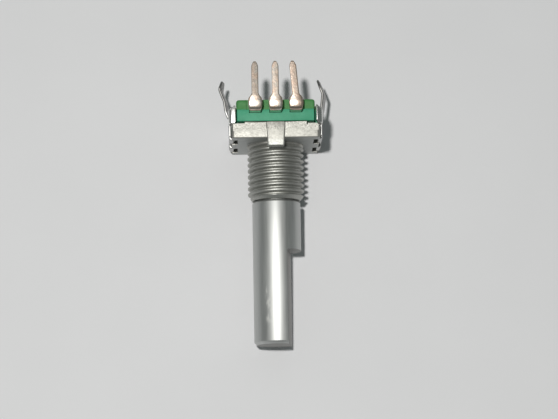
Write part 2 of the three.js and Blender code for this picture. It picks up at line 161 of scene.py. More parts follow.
def ring(name, inner, outer, start, end, sides=96):
    """A flat ring about the shaft's axis."""
    body = turned(name, [(0, start), (outer, start), (outer, end), (0, end)], sides)
    margin = end - start
    low, high = start - margin, end + margin
    return cut(body, turned("hole", [(0, low), (inner, low), (inner, high), (0, high)], sides))


def disc(radius, start, end, sides=96):
    return turned("disc", [(0, start), (radius, start), (radius, end), (0, end)], sides)


def prism(name, outline, axis, start, end):
    """An outline pushed along an axis. It is given as (y, z) for x, (x, z) for y and (x, y) for z."""
    order = {"x": (2, 0, 1), "y": (0, 2, 1), "z": (0, 1, 2)}[axis]
    bm = bmesh.new()
    sides = []
    for depth in (start, end):
        points = [(a, b, depth) for a, b in outline]
        sides.append([bm.verts.new([p[order[0]], p[order[1]], p[order[2]]]) for p in points])
    count = len(outline)
    bm.faces.new(sides[0])
    bm.faces.new(sides[1])
    for i in range(count):
        bm.faces.new([sides[0][i], sides[0][(i + 1) % count], sides[1][(i + 1) % count], sides[1][i]])
    return new_object(name, bm)


def block(low, high, name="block"):
    """A box between two corners."""
    outline = [(low[0], low[1]), (high[0], low[1]), (high[0], high[1]), (low[0], high[1])]
    return prism(name, outline, "z", low[2], high[2])


def corner_block(sign_x, sign_z, low, high):
    """A box given for positive x and z, put in the corner with these signs."""
    x = sorted((sign_x * low[0], sign_x * high[0]))
    z = sorted((sign_z * low[2], sign_z * high[2]))
    return block((x[0], low[1], z[0]), (x[1], high[1], z[1]))


def fillet(points, radius, steps=5, closed=True):
    """A line or outline with its corners rounded, each by at most half of its shorter side."""
    line = [Vector(p) for p in points]
    count = len(line)
    result = []
    for i, corner in enumerate(line):
        if not closed and i in (0, count - 1):
            result.append(tuple(corner))
            continue
        before = line[i - 1] - corner
        after = line[(i + 1) % count] - corner
        turn = math.pi - before.angle(after)
        if turn < math.radians(3):
            result.append(tuple(corner))
            continue
        reach = min(radius * math.tan(turn / 2), before.length * 0.49, after.length * 0.49)
        start = corner + before.normalized() * reach
        end = corner + after.normalized() * reach
        for k in range(steps + 1):
            t = k / steps
            result.append(tuple(start * (1 - t) ** 2 + corner * 2 * t * (1 - t) + end * t ** 2))
    return result


def ribbon(route, thickness):
    """The outline of a sheet of one thickness that follows a line."""
    line = [Vector(p) for p in route]
    one_side, other_side = [], []
    for i, point in enumerate(line):
        before = line[max(i - 1, 0)]
        after = line[min(i + 1, len(line) - 1)]
        into = (point - before).normalized() if i else (after - point).normalized()
        out = (after - point).normalized() if i + 1 < len(line) else into
        along = (into + out).normalized()
        widen = 1 / max(along.dot(into), 0.5)
        offset = Vector((-along.y, along.x)) * thickness / 2 * widen
        one_side.append(tuple(point + offset))
        other_side.append(tuple(point - offset))
    return one_side + other_side[::-1]


def arc(radius, start, end, steps):
    """Points of an arc about the middle, between two angles in degrees."""
    angles = [math.radians(start + (end - start) * i / steps) for i in range(steps + 1)]
    return [(radius * math.cos(a), radius * math.sin(a)) for a in angles]


def rounded_rectangle(width, height, radius, steps=4):
    points = []
    for sign_a, sign_b, start in ((1, 1, 0), (-1, 1, 90), (-1, -1, 180), (1, -1, 270)):
        for a, b in arc(radius, start, start + 90, steps):
            points.append((sign_a * (width / 2 - radius) + a, sign_b * (height / 2 - radius) + b))
    return points


def subdivided(outline, longest):
    """An outline with extra points on its long sides."""
    points = []
    for one, other in zip(outline, outline[1:] + outline[:1]):
        parts = max(math.ceil(math.dist(one, other) / longest), 1)
        points += [tuple(Vector(one).lerp(Vector(other), k / parts)) for k in range(parts)]
    return points


def strip(name, stations, thickness, across, edge=0.1, crown=None):
    """A strip of sheet with rounded edges, through [middle, width] stations, its width along across.

    crown gives each middle how strongly the sheet's two edges are curved away from its outer side.
    """
    middles = [Vector(middle) for middle, width in stations]
    across = Vector(across)
    widest = max(width for middle, width in stations)
    parts = 8
    rings = []
    last = len(stations) - 1
    for i, (middle, (place, width)) in enumerate(zip(middles, stations)):
        along = (middles[min(i + 1, last)] - middles[max(i - 1, 0)]).normalized()
        normal = along.cross(across).normalized()
        bow = crown(middle) if crown else 0
        if i in (0, last):
            inward = along * edge * (1 if i == 0 else -1)
            layers = [(middle, edge * 0.7), (middle + inward * 0.3, edge * 0.3), (middle + inward, 0)]
            layers = layers if i == 0 else layers[::-1]
        else:
            layers = [(middle, 0)]
        for centre, less in layers:
            if crown:
                section = rounded_rectangle(widest, thickness - 2 * less, edge - less * 0.9)
                section = subdivided(section, widest / parts)
                section = [(a * (width - 2 * less) / widest, b) for a, b in section]
            else:
                section = rounded_rectangle(width - 2 * less, thickness - 2 * less, edge - less * 0.9)
            rings.append([centre + across * a + normal * (b + bow * a * a) for a, b in section])
    bm = bmesh.new()
    loops = [[bm.verts.new(point) for point in points] for points in rings]
    count = len(loops[0])
    for one, other in zip(loops, loops[1:]):
        for i in range(count):
            bm.faces.new([one[i], one[(i + 1) % count], other[(i + 1) % count], other[i]])
    bm.faces.new(loops[0])
    bm.faces.new(loops[-1])
    return new_object(name, bm)


def finished(obj, node, material, smooth_angle=32):
    """Turns a piece into metres, gives it its material, and puts it in the place of its CAD node."""
    obj.name = node + "_fine"
    obj.data.transform(Matrix.Scale(MM, 4))
    obj.data.materials.clear()
    obj.data.materials.append(material)
    obj.data.polygons.foreach_set("use_smooth", [True] * len(obj.data.polygons))
    obj.data.set_sharp_from_angle(angle=math.radians(smooth_angle))
    body = next(b for b, nodes in frame["record"]["behaviour"]["bodies"].items() if node in nodes)
    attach(obj, body)
    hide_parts(node)
    return obj


# ---------------------------------------------------------------- materials


class Surface:
    """A node material with one Principled shader, whose textures are read in the piece's own space."""

    def __init__(self, name, color, metallic, roughness, **sockets):
        self.material = bpy.data.materials.new(name)
        self.material.use_nodes = True
        self.tree = self.material.node_tree
        self.shader = self.tree.nodes["Principled BSDF"]
        self.shader.inputs["Base Color"].default_value = (*color, 1)
        self.shader.inputs["Metallic"].default_value = metallic
        self.shader.inputs["Roughness"].default_value = roughness
        for socket, value in sockets.items():
            self.shader.inputs[socket.replace("_", " ")].default_value = value
        self.place = self.tree.nodes.new("ShaderNodeTexCoord").outputs["Object"]

    def node(self, kind, **settings):
        made = self.tree.nodes.new(kind)
        for key, value in settings.items():
            setattr(made, key, value)
        return made

    def link(self, output, target):
        self.tree.links.new(output, target)

    def noise(self, size, detail=4, stretch=(1, 1, 1), roughness=0.55):
        """Noise whose features are about size millimetres, stretched along the axes."""
        mapping = self.node("ShaderNodeMapping")
        self.link(self.place, mapping.inputs["Vector"])
        mapping.inputs["Scale"].default_value = [1 / (size * MM * s) for s in stretch]
        made = self.node("ShaderNodeTexNoise")
        made.inputs["Scale"].default_value = 1
        made.inputs["Detail"].default_value = detail
        made.inputs["Roughness"].default_value = roughness
        self.link(mapping.outputs["Vector"], made.inputs["Vector"])
        return made.outputs["Fac"]

    def spread(self, value, low, high, to_low=0.0, to_high=1.0):
        """value, taken from one range to another and held there."""
        made = self.node("ShaderNodeMapRange")
        limits = {"From Min": low, "From Max": high, "To Min": to_low, "To Max": to_high}
        for socket, number in limits.items():
            made.inputs[socket].default_value = number
        self.link(value, made.inputs["Value"])
        return made.outputs["Result"]

    def coordinate(self, axis):
        """The place along an axis, in metres."""
        made = self.node("ShaderNodeSeparateXYZ")
        self.link(self.place, made.inputs[0])
        return made.outputs[axis]

    def facing(self, axis):
        """How far the surface faces along an axis, from -1 to 1."""
        made = self.node("ShaderNodeSeparateXYZ")
        self.link(self.tree.nodes["Texture Coordinate"].outputs["Normal"], made.inputs[0])
        return made.outputs[axis]

    def combine(self, operation, one, other):
        made = self.node("ShaderNodeMath", operation=operation)
        for socket, value in zip(made.inputs, (one, other)):
            if isinstance(value, (int, float)):
                socket.default_value = value
            else:
                self.link(value, socket)
        return made.outputs[0]

    def mix(self, factor, one, other):
        """A colour between two, each a colour or an output."""
        made = self.node("ShaderNodeMix", data_type="RGBA")
        self.link(factor, made.inputs["Factor"])
        for socket, value in ((made.inputs[6], one), (made.inputs[7], other)):
            if isinstance(value, tuple):
                socket.default_value = (*value, 1)
            else:
                self.link(value, socket)
        return made.outputs[2]

    def colour(self, output):
        self.link(output, self.shader.inputs["Base Color"])

    def roughness(self, value, low, high):
        self.link(self.spread(value, 0.3, 0.7, low, high), self.shader.inputs["Roughness"])

    def bump(self, *layers):
        """Bumps from (value, depth in millimetres) pairs."""
        normal = None
        for value, depth in layers:
            made = self.node("ShaderNodeBump")
            made.inputs["Strength"].default_value = 1
            made.inputs["Distance"].default_value = depth * MM
            self.link(value, made.inputs["Height"])
            if normal is not None:
                self.link(normal, made.inputs["Normal"])
            normal = made.outputs["Normal"]
        self.link(normal, self.shader.inputs["Normal"])


def die_cast_surface():
    """Raw zinc casting: grainy on its sides, with fewer specks and a darker tone on its rim, an even tone a
    touch greener on its thread, and painted shade on its front face.
    """
    s = Surface("die_cast_zinc", (0.46, 0.455, 0.425), 1.0, 0.55)
    along = s.coordinate("Y")
    grain = s.noise(0.16, detail=5)
    patches = s.noise(0.9, detail=3)
    cast_zone = s.spread(along, 0.0007, 0.0011)
    tone = s.mix(s.spread(patches, 0.35, 0.65), (0.42, 0.415, 0.385), (0.50, 0.495, 0.46))
    tone = s.mix(s.spread(along, -0.0001, -0.0004), tone, (0.47, 0.475, 0.45))
    # Faces that look along -Y at the flange's front get a darker, greener colour: painted shade.
    front = s.combine("MULTIPLY", s.spread(s.facing("Y"), -0.9, -0.98), s.spread(along, -0.0003, -0.0001))
    tone = s.mix(front, tone, (0.43, 0.445, 0.435))
    rim = s.combine("SUBTRACT", s.spread(along, -0.0003, -0.0001), s.combine("MAXIMUM", cast_zone, front))
    tone = s.mix(s.combine("MULTIPLY", rim, 0.35), tone, (0.30, 0.295, 0.27))
    specks = s.combine("MULTIPLY", s.spread(grain, 0.42, 0.70), s.combine("MAXIMUM", cast_zone, 0.3))
    s.colour(s.mix(specks, tone, (0.29, 0.285, 0.26)))
    s.roughness(grain, 0.48, 0.60)
    s.bump((s.noise(0.07, detail=3), 0.006), (patches, 0.012))
    return s.material


def shaft_surface():
    """Turned metal: fine rings round it, scuffs near its end, and painted shade on its flat, step and end
    face.
    """
    s = Surface("shaft_metal", (0.54, 0.55, 0.54), 1.0, 0.46)
    rings = s.noise(0.05, detail=2, stretch=(60, 1, 60))
    streaks = s.noise(0.5, detail=4, stretch=(1, 14, 1))
    scuff_grain = s.noise(0.45, detail=2, stretch=(1, 2.4, 1))
    along = s.coordinate("Y")
    across = s.coordinate("X")
    near = s.combine("MULTIPLY", s.spread(along, -0.0226, -0.0218), s.spread(along, -0.0178, -0.0186))
    beside = s.combine("MULTIPLY", s.spread(across, -0.0017, -0.0014), s.spread(across, -0.0006, -0.0009))
    scuffs = s.combine("MULTIPLY", s.combine("MULTIPLY", near, beside), s.spread(scuff_grain, 0.46, 0.62))
    # Faces that look along -Y (the step and the end face) and the D flat get a dark colour: painted shade.
    steps = s.spread(s.facing("Y"), -0.9, -0.97)
    flat = s.combine("MULTIPLY", s.spread(s.facing("X"), 0.45, 0.7), s.spread(along, -0.0132, -0.0134))
    shaft_painted_shade = s.combine("MAXIMUM", steps, flat)
    clean = s.mix(s.spread(streaks, 0.35, 0.65), (0.53, 0.54, 0.53), (0.60, 0.61, 0.60))
    s.colour(s.mix(shaft_painted_shade, s.mix(scuffs, clean, (0.74, 0.74, 0.72)), (0.25, 0.25, 0.24)))
    turned = s.spread(streaks, 0.3, 0.7, 0.47, 0.54)
    s.link(s.combine("ADD", turned, s.combine("MULTIPLY", scuffs, 0.2)), s.shader.inputs["Roughness"])
    s.bump((rings, 0.0012), (scuffs, 0.003))
    return s.material


def sheet_surface(name, color, dark, roughness, grain_axis):
    """Rolled sheet metal with drawn lines along an axis and a little staining."""
    s = Surface(name, color, 1.0, roughness)
    stretch = [1, 1, 1]
    stretch["xyz".index(grain_axis)] = 12
    lines = s.noise(0.05, detail=3, stretch=stretch)
    stains = s.noise(0.8, detail=4)
    s.colour(s.mix(s.spread(stains, 0.42, 0.68), color, dark))
    unevenness = s.combine("MULTIPLY", s.combine("ADD", lines, stains), 0.5)
    s.roughness(unevenness, roughness - 0.06, roughness + 0.1)
    s.bump((lines, 0.0015), (s.noise(0.3, detail=2), 0.004))
    return s.material


def bracket_surface():
    """Sheet steel under tin: mid grey with stains on its plates, a painted highlight on the rolled-over ears
    and painted shade on its snap-in lug strips.
    """
    s = Surface("bracket_steel", (0.60, 0.60, 0.58), 1.0, 0.27)
    lines = s.noise(0.05, detail=3, stretch=(12, 1, 1))
    stains = s.noise(0.8, detail=4)
    sides = s.mix(s.spread(stains, 0.35, 0.70), (0.53, 0.53, 0.52), (0.43, 0.43, 0.42))
    # Each snap-in lug is given a darker colour: painted shade.
    lug_painted_shade = s.mix(s.spread(stains, 0.45, 0.60), (0.34, 0.335, 0.325), (0.24, 0.235, 0.23))
    plates_and_lug_shade = s.mix(s.spread(s.coordinate("Y"), 0.0042, 0.0050), sides, lug_painted_shade)
    # The rolled-over ears are given a much lighter colour, which is a painted highlight, and less roughness.
    ears = s.spread(s.combine("ABSOLUTE", s.coordinate("Z"), 0), 0.0052, 0.0058)
    s.colour(s.mix(ears, plates_and_lug_shade, (0.82, 0.82, 0.80)))
    drawn = s.spread(s.combine("ADD", lines, stains), 0.6, 1.4, 0.34, 0.46)
    polish = s.combine("MULTIPLY", ears, 0.14)
    s.link(s.combine("SUBTRACT", drawn, polish), s.shader.inputs["Roughness"])
    s.bump((lines, 0.0015), (s.noise(0.4, detail=2), 0.003))
    return s.material


def terminal_surface():
    """Copper alloy under tin: pinkish, greyer where the tin is thick; the +X terminal is pinker where its
    tin is thinnest, and darker with painted shade.
    """
    s = Surface("tinned_terminal", (0.82, 0.69, 0.58), 1.0, 0.22)
    patches = s.noise(0.55, detail=4, stretch=(1, 1.6, 1))
    specks = s.noise(0.12, detail=3)
    tin = s.mix(s.spread(patches, 0.38, 0.62), (0.84, 0.66, 0.54), (0.79, 0.73, 0.66))
    # The +X terminal is mixed towards a darker pink: pinker for its thinnest tin, and darker as painted
    # shade.
    thin_tin_and_shade = s.combine("MULTIPLY", s.spread(s.coordinate("X"), 0.0012, 0.0020), 0.5)
    tin = s.mix(thin_tin_and_shade, tin, (0.56, 0.40, 0.31))
    s.colour(s.mix(s.spread(specks, 0.55, 0.75), tin, (0.52, 0.40, 0.31)))
    s.roughness(specks, 0.19, 0.27)
    s.bump((s.noise(0.25, detail=2), 0.008), (specks, 0.002))
    return s.material


def green_surface():
    """Green moulding compound: bluer on its front tier, yellower on its rear tier."""
    s = Surface("green_moulding", (0.05, 0.33, 0.18), 0.0, 0.6)
    tier = s.spread(s.coordinate("Y"), 0.0035, 0.0037)
    cloud = s.noise(1.4, detail=3)
    front = s.mix(s.spread(cloud, 0.35, 0.65), (0.040, 0.320, 0.175), (0.060, 0.375, 0.215))
    rear = s.mix(s.spread(cloud, 0.35, 0.65), (0.045, 0.220, 0.050), (0.065, 0.265, 0.075))
    s.colour(s.mix(tier, front, rear))
    s.roughness(s.noise(0.2, detail=3), 0.54, 0.66)
    s.bump((s.noise(0.09, detail=3), 0.004))
    return s.material


def rotor_surface():
    s = Surface("rotor_moulding", (0.02, 0.02, 0.023), 0.0, 0.45)
    cloud = s.noise(0.6, detail=3)
    s.colour(s.mix(s.spread(cloud, 0.35, 0.65), (0.016, 0.016, 0.018), (0.030, 0.030, 0.034)))
    s.roughness(cloud, 0.38, 0.52)
    s.bump((s.noise(0.08, detail=2), 0.003))
    return s.material


def paper_surface():
    """Plain pale paper with a faint unevenness."""
    s = Surface("paper", (0.80, 0.80, 0.80), 0.0, 0.9)
    cloud = s.noise(18, detail=3)
    s.colour(s.mix(s.spread(cloud, 0.3, 0.7), (0.790, 0.792, 0.812), (0.810, 0.812, 0.832)))
    s.bump((s.noise(0.25, detail=3), 0.01))
    return s.material


# ---------------------------------------------------------------- shaft

TIP_CHAMFER = 0.35
FLAT_DISTANCE = 1.5
FLAT_START = -13.3
NECK_RADIUS = 2.25
GROOVE_RADIUS = 1.85
KEY_RADIUS = 2.15
KEY_HALF_WIDTH = 1.6
SHOULDER_GAP = 0.15
SHOULDER_CHAMFER = 0.2
GROOVE_PLAY = 0.02


def beside_flat(distance, start, end, side):
    """What lies outside a flat that is parallel to the D cut, at a distance on one side of the axis."""
    far = 8
    x = sorted((side * distance, side * far))
    cutter = block((x[0], start, -far), (x[1], end, far))
    turn = math.atan2(-FLAT_NORMAL.z, FLAT_NORMAL.x)
    cutter.data.transform(Matrix.Rotation(turn, 4, "Y"))
    return cutter


def make_shaft(material):
    shoulder = BUSHING_END - SHOULDER_GAP
    groove = (CLIP_LOW.y - GROOVE_PLAY, CLIP_HIGH.y + GROOVE_PLAY)
    profile = [
        (0, SHAFT_LOW.y), (SHAFT_RADIUS - TIP_CHAMFER, SHAFT_LOW.y),
        (SHAFT_RADIUS, SHAFT_LOW.y + TIP_CHAMFER),
        (SHAFT_RADIUS, shoulder - SHOULDER_CHAMFER), (SHAFT_RADIUS - SHOULDER_CHAMFER, shoulder),
        (NECK_RADIUS, shoulder),
        (NECK_RADIUS, groove[0]), (GROOVE_RADIUS, groove[0]), (GROOVE_RADIUS, groove[1]),
        (KEY_RADIUS, groove[1]), (KEY_RADIUS, SHAFT_HIGH.y), (0, SHAFT_HIGH.y),
    ]
    body = turned("shaft", profile)
    cut(body, beside_flat(FLAT_DISTANCE, SHAFT_LOW.y - 1, FLAT_START, 1))
    cut(body, beside_flat(KEY_HALF_WIDTH, groove[1], SHAFT_HIGH.y + 1, 1))
    cut(body, beside_flat(KEY_HALF_WIDTH, groove[1], SHAFT_HIGH.y + 1, -1))
    return finished(soften(body, 0.04), "shaft", material)


# ---------------------------------------------------------------- die-cast housing

PITCH = 0.75
MAJOR_RADIUS = 3.5
MINOR_RADIUS = 3.04
BORE_RADIUS = 2.3
FLOOR = 0.75
CAVITY_RADIUS = 4.45
LUG_FRONT = 1.0
LUG_REAR = 1.2
LUG_INNER = 4.8
FLANGE_CORNER = 0.45
FLANGE_EDGE = 0.14
RIM_DEPTH = 0.9
SETBACK = 0.05
SPRING_SEAT = (0.6, 4.8)
NOTCH_FRONTS = {-1: 1.82, 1: 1.6}
NOTCH_INNER = 3.8
NOTCH_END = 4.6
POCKET_PAST = 0.5
POCKET_BESIDE = 0.2
POCKET_DEPTH = 0.8
END_RADIUS = MINOR_RADIUS - 0.04
END_SLOPE = 0.8
THREAD_STEPS = (0, 0.08, 0.15, 0.24, 0.33, 0.40, 0.44, 0.50, 0.56, 0.60, 0.67, 0.76, 0.85, 0.92)


def thread_height(turn):
    """Share of the thread's depth at a place within one pitch: a rounded root, two flanks, a crest."""
    rise = (0.5 - abs(turn - 0.5) - 0.08) / 0.29
    rise = min(max(rise, 0), 1)
    return rise * rise * (3 - 2 * rise) * 0.35 + rise * 0.65


def thread_radius(y, turn):
    """Radius of the bushing, with its thread run out at the flange and bevelled at its end."""
    fade = min(max((-y - 0.15) / 0.35, 0), 1)
    radius = MAJOR_RADIUS - (MAJOR_RADIUS - MINOR_RADIUS) * (1 - thread_height(turn)) * fade
    return min(radius, END_RADIUS + (y - BUSHING_END) * END_SLOPE)


def threaded_bushing(columns=132):
    """A right-handed helix as a closed solid, each column of points moved on by its share of a pitch."""
    top = FLOOR / 2
    turns = math.ceil((top - BUSHING_END) / PITCH) + 2
    bm = bmesh.new()
    grid = []
    for i in range(columns + 1):
        angle = 2 * math.pi * i / columns
        column = []
        for turn in range(turns):
            for step in THREAD_STEPS:
                raw = top + PITCH * (1 - turn - step + i / columns)
                y = min(max(raw, BUSHING_END), top)
                radius = MAJOR_RADIUS if y == top else thread_radius(y, step)
                column.append(bm.verts.new((radius * math.sin(angle), y, radius * math.cos(angle))))
        grid.append(column)
    for one, other in zip(grid, grid[1:]):
        for k in range(len(one) - 1):
            bm.faces.new([one[k], other[k], other[k + 1], one[k + 1]])
    bmesh.ops.remove_doubles(bm, verts=bm.verts, dist=1e-4)
    bmesh.ops.dissolve_degenerate(bm, edges=bm.edges, dist=1e-5)
    bmesh.ops.holes_fill(bm, edges=[e for e in bm.edges if e.is_boundary], sides=0)
    return new_object("bushing", bm)


def flange_plate():
    w, h = FLANGE_HALF_WIDTH, FLANGE_HALF_HEIGHT
    outline = fillet([(-w, -h), (w, -h), (w, h), (-w, h)], FLANGE_CORNER, 6)
    plate = soften(prism("flange", outline, "y", 0, FLANGE_DEPTH), FLANGE_EDGE, 3, 50)
    # The rear of each long side is set back a little from the band along its front.
    for side in (-1, 1):
        z = sorted((side * (h - SETBACK), side * (h + 1)))
        cut(plate, block((-w - 1, RIM_DEPTH, z[0]), (w + 1, FLANGE_DEPTH + 1, z[1])))
    return plate


def locating_lug():
    outline = [(-LUG_FRONT, -1), (LUG_FRONT, -1), (LUG_REAR, FLANGE_DEPTH), (-LUG_REAR, FLANGE_DEPTH)]
    return soften(prism("lug", fillet(outline, 0.26, 4), "z", LUG_INNER, HOUSING_HIGH.z), 0.12, 3, 50)


def make_housing(material):
    body = join(flange_plate(), threaded_bushing(), locating_lug())
    behind = FLANGE_DEPTH + 1
    cut(body, disc(BORE_RADIUS, BUSHING_END - 1, behind), disc(CAVITY_RADIUS, FLOOR, behind))
    seat_x, seat_z = SPRING_SEAT
    cut(body, block((-seat_x, FLOOR, -seat_z), (seat_x, behind, seat_z)))
    pocket_low = (CLAW_REACH - POCKET_PAST, -1, CLAW_FROM - POCKET_BESIDE)
    pocket_high = (7, POCKET_DEPTH, CLAW_TO + POCKET_BESIDE)
    for sign_x in (-1, 1):
        notch_low = (NOTCH_INNER, NOTCH_FRONTS[sign_x], NOTCH_END)
        for sign_z in (-1, 1):
            cut(body, corner_block(sign_x, sign_z, pocket_low, pocket_high))
            cut(body, corner_block(sign_x, sign_z, notch_low, (7, 4, 8)))
    return finished(soften(body, 0.02, 1, 55), "bushing_housing", material)


# ---------------------------------------------------------------- steel bracket

SHEET = 0.3
SIDE_X = 5.8 - SHEET / 2
STRAP_Y = 3.95 + SHEET / 2
SIDE_HALF_HEIGHT = 4.3
STRAP_HALF_HEIGHT = 3.9
SIDE_FRONT = 0.45
CLAW_REACH = 5.2
CLAW_FROM = 1.6
CLAW_TO = 4.2
CLAW_Y = 0.08 + SHEET / 2
EAR_FRONT = 1.85
EAR_SHOULDER = 3.3
EAR_REAR = 4.1
EAR_REAR_INNER = 5.1
EAR_LENGTH = 0.75
EAR_CORNER = 0.3
BRACKET_HALF_WIDTH = SIDE_X + SHEET / 2
# How far each ear is bent over, and the height of its bend: the front right one on the pins' side
# is bent less than the others.
EAR_BENDS = {
    (-1, 1): (math.radians(90), 5.95),
    (1, 1): (math.radians(62), 5.68),
    (-1, -1): (math.radians(90), 5.95),
    (1, -1): (math.radians(90), 5.95),
}
LUG_WIDTH = 2.0
LUG_LEAN = -0.2
LUG_ROUTES = {
    -1: [(-5.65, 3.4), (-5.98, 4.3), (-6.15, 5.6), (-6.73, 7.1), (-6.45, 8.25)],
    1: [(5.65, 3.4), (5.96, 4.5), (6.2, 6.4), (5.5, 8.25)],
}


def bracket_frame():
    """The strap behind the wafer and the two side plates, bent from one sheet."""
    route = [(-SIDE_X, SIDE_FRONT), (-SIDE_X, STRAP_Y), (SIDE_X, STRAP_Y), (SIDE_X, SIDE_FRONT)]
    sheet = ribbon(fillet(route, 0.45, 5, closed=False), SHEET)
    body = soften(prism("frame", sheet, "z", -SIDE_HALF_HEIGHT, SIDE_HALF_HEIGHT), 0.13, 4, 50)
    for side in (-1, 1):
        z = sorted((side * STRAP_HALF_HEIGHT, side * 9))
        cut(body, block((-5.2, 3, z[0]), (5.2, 9, z[1])))
        x = sorted((side * 1.5, side * 5.48))
        cut(body, block((x[0], 3, -1.15), (x[1], 9, 1.15)))
    return body


def bracket_claw(side, end):
    """A claw that is folded over from a side plate into its pocket in the housing's front."""
    route = [(side * SIDE_X, SIDE_FRONT + 0.6), (side * SIDE_X, CLAW_Y), (side * CLAW_REACH, CLAW_Y)]
    middle = end * (CLAW_FROM + CLAW_TO) / 2
    stations = [((x, y, middle), CLAW_TO - CLAW_FROM) for x, y in fillet(route, 0.38, 8, closed=False)]
    return strip("claw", stations, SHEET, (0, 0, 1), 0.12)


def bracket_ear(side, end):
    """An ear rolled over the wafer's corner, with its rear corner cut off at a slant."""
    turn, corner = EAR_BENDS[side, end]
    tip = (SIDE_X - EAR_LENGTH * math.sin(turn), corner + EAR_LENGTH * math.cos(turn))
    route = fillet([(SIDE_X, SIDE_HALF_HEIGHT - 0.4), (SIDE_X, corner), tip], 0.3, 8, closed=False)
    steps = 6
    last = Vector(route[-2]).lerp(Vector(tip), 0.4)
    route = route[:-1] + [tuple(last.lerp(Vector(tip), k / steps)) for k in range(steps + 1)]
    stations = []
    slant = (EAR_REAR - EAR_SHOULDER) / (BRACKET_HALF_WIDTH - EAR_REAR_INNER)
    for x, z in route:
        rear = min(EAR_REAR, EAR_SHOULDER + (BRACKET_HALF_WIDTH - x) * slant)
        left = max(EAR_CORNER - math.dist((x, z), tip), 0)
        rounding = EAR_CORNER - math.sqrt(EAR_CORNER ** 2 - left ** 2)
        front = EAR_FRONT + rounding * 0.8
        rear -= rounding * 0.3
        stations.append(((side * x, (front + rear) / 2, end * z), rear - front))
    return strip("ear", stations, SHEET, (0, 1, 0))


def snap_lug(side):
    """A kinked lug that snaps into a slot in the circuit board, narrower towards its tip."""
    route = fillet(LUG_ROUTES[side], 0.9, 6, closed=False)
    tip = Vector(route[-1])
    stations = []
    for point in route[:-1] + [tuple(Vector(route[-2]).lerp(tip, k / 4)) for k in range(1, 5)]:
        left = (tip - Vector(point)).length
        width = LUG_WIDTH - max(0.9 - left, 0) * 0.9
        stations.append(((*point, 0), width))
    return strip("lug", stations, SHEET, (LUG_LEAN, 0, 1), 0.13)


def make_bracket(material):
    body = bracket_frame()
    for side in (-1, 1):
        for end in (-1, 1):
            join(body, bracket_claw(side, end), bracket_ear(side, end))
        join(body, snap_lug(side))
    return finished(body, "mounting_bracket", material, 40)


# ---------------------------------------------------------------- moulded wafer

WAFER_HALF_WIDTH = 4.75
MIDDLE_HALF_HEIGHT = 4.25
TIER_BREAK = 3.55
CHANNEL_FLOOR = 3.9
REAR_TIER_HALF_WIDTH = 4.85
REAR_TIER_HALF_HEIGHT = 5.75
TIER_EDGE = 0.34
RECESS_HALF_HEIGHT = 5.4
RECESS_HALF_WIDTH = 3.6
WAFER_CAVITY_RADIUS = 4.3
WAFER_CAVITY_FLOOR = 2.95
PIN_PITCH = 2.5
LEG_FRONT = PIN_LOW.y
LEG_REAR = 3.5
LEG_HALF_WIDTH = 0.75
LEG_END = PIN_LOW.z
BRUSH_HALF_WIDTH = 0.25
FIT = 0.03


def rounded_block(low, high, radius):
    return soften(block(low, high), radius, 3, 50)


def make_wafer(material):
    front = WAFER_LOW.y
    height = WAFER_HIGH.z
    middle = (WAFER_HIGH.x, CHANNEL_FLOOR, MIDDLE_HALF_HEIGHT)
    body = rounded_block((-middle[0], front, -middle[2]), middle, 0.08)
    half = WAFER_HALF_WIDTH
    join(body, rounded_block((-half, front, -height), (half, TIER_BREAK, height), 0.1))
    wide = REAR_TIER_HALF_WIDTH
    for side in (-1, 1):
        z = sorted((side * MIDDLE_HALF_HEIGHT, side * REAR_TIER_HALF_HEIGHT))
        join(body, rounded_block((-wide, TIER_BREAK, z[0]), (wide, WAFER_HIGH.y, z[1]), TIER_EDGE))
        core = ((-half, TIER_BREAK - 0.5, z[0]), (half, WAFER_HIGH.y - 0.3, z[1]))
        join(body, rounded_block(*core, 0.1))
    cut(body, block((-RECESS_HALF_WIDTH, TIER_BREAK, RECESS_HALF_HEIGHT), (RECESS_HALF_WIDTH, 6, 8)))
    cut(body, disc(WAFER_CAVITY_RADIUS, front - 1, WAFER_CAVITY_FLOOR))
    for place in (-PIN_PITCH, 0, PIN_PITCH):
        leg = LEG_HALF_WIDTH + FIT
        cut(body, block((place - leg, LEG_FRONT - FIT, LEG_END - FIT), (place + leg, LEG_REAR + FIT, 8)))
        window = BRUSH_HALF_WIDTH + 0.15
        cut(body, block((place - window, front + 0.3, 3.2), (place + window, LEG_FRONT, BRUSH_HIGH.z + 0.1)))
    return finished(soften(body, 0.025, 1, 55), "terminal_wafer", material)


# ---------------------------------------------------------------- terminals and brushes

# Where each terminal stands, how far its pin leans towards -X, and how far it rises towards +Z.
TERMINALS = {
    "terminal_a": (-PIN_PITCH, 0, -2.5),
    "terminal_c": (0, 0, -1),
    "terminal_b": (PIN_PITCH, 5, -0.4),
}
TERMINAL_SHEET = 0.35
TERMINAL_ROW = 7.5
SHOULDER_TOP = 4.4
SHOULDER_END = 4.95
SHOULDER_CURVE = 0.175
# Width of the shoulder and the pin at places along Y.
SHOULDER_WIDTHS = (
    (3.3, 1.42), (3.5, 1.60), (3.8, 1.73), (4.3, 1.74), (4.65, 1.66),
    (4.82, 1.46), (4.98, 1.13), (5.12, 0.95), (5.3, 0.86),
)
LEG_WAIST = 1.3
PIN_TAPER = 8.7
PIN_TIP_WIDTH = 0.35
PIN_SHORTFALL = 0.02
BEND_RADIUS = 0.42
BEND_STOP = 105
CROWN = 0.09


def stepped(value, table):
    """The value that a table of pairs gives for a number, read along straight lines between them."""
    if value <= table[0][0]:
        return table[0][1]
    for (before, one), (after, other) in zip(table, table[1:]):
        if value <= after:
            return one + (other - one) * (value - before) / (after - before)
    return table[-1][1]


